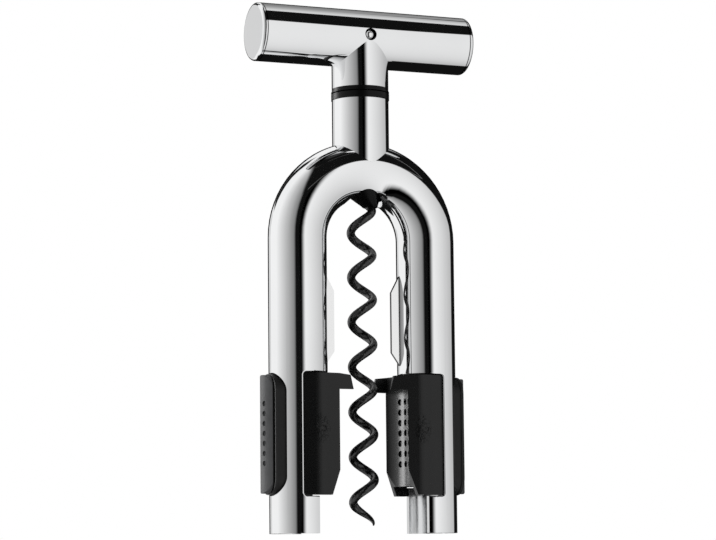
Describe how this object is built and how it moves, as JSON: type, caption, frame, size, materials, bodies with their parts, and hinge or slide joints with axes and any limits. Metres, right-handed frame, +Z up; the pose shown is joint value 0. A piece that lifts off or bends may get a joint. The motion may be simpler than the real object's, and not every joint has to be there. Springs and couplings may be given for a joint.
{
  "type": "corkscrew",
  "caption": "Self-pulling corkscrew with a T-handle and worm that turn in a two-legged tube frame with fins against the cork and squeeze jaws for the bottle neck.",
  "frame": {"origin": "midway between the two leg ends, on the plane that they stand on", "axes": "+Z up along the worm towards the handle, X across the two legs, -Y to the front"},
  "size_m": [0.0712, 0.0192, 0.162],
  "materials": {
    "polished_steel": "mirror polished",
    "fin_steel": "polished",
    "inner_steel": "turned",
    "bush_plastic": "satin",
    "hub_plastic": "satin",
    "worm_coating": "satin non-stick coating",
    "jaw_plastic": "matte",
    "pad_plastic": "fine textured"
  },
  "bodies": {
    "frame": {"frame_bow": "polished_steel", "frame_neck": "polished_steel", "right_fin": "fin_steel", "left_fin": "fin_steel", "neck_bush": "bush_plastic", "lower_bush": "bush_plastic"},
    "handle": {"handle_bar": "polished_steel", "left_end_cap": "polished_steel", "right_end_cap": "polished_steel", "handle_stem": "polished_steel", "stem_ring": "bush_plastic", "handle_pin": "fin_steel", "spindle": "inner_steel", "thrust_washer": "inner_steel", "worm_hub": "hub_plastic", "worm": "worm_coating"},
    "left_grip": {"left_jaw": "jaw_plastic", "left_pad": "pad_plastic", "left_dowels": "inner_steel"},
    "right_grip": {"right_jaw": "jaw_plastic", "right_pad": "pad_plastic", "right_dowels": "inner_steel"}
  },
  "joints": [
    {"name": "handle_turn", "type": "hinge", "parent": "frame", "child": "handle", "pos_m": [0, 0, 0.1334], "axis": [0, 0, 1], "continuous": true},
    {"name": "left_squeeze", "type": "slide", "parent": "frame", "child": "left_grip", "axis": [1, 0, 0], "range_m": [0, 0.0015]},
    {"name": "right_squeeze", "type": "slide", "parent": "frame", "child": "right_grip", "axis": [-1, 0, 0], "range_m": [0, 0.0015]}
  ]
}
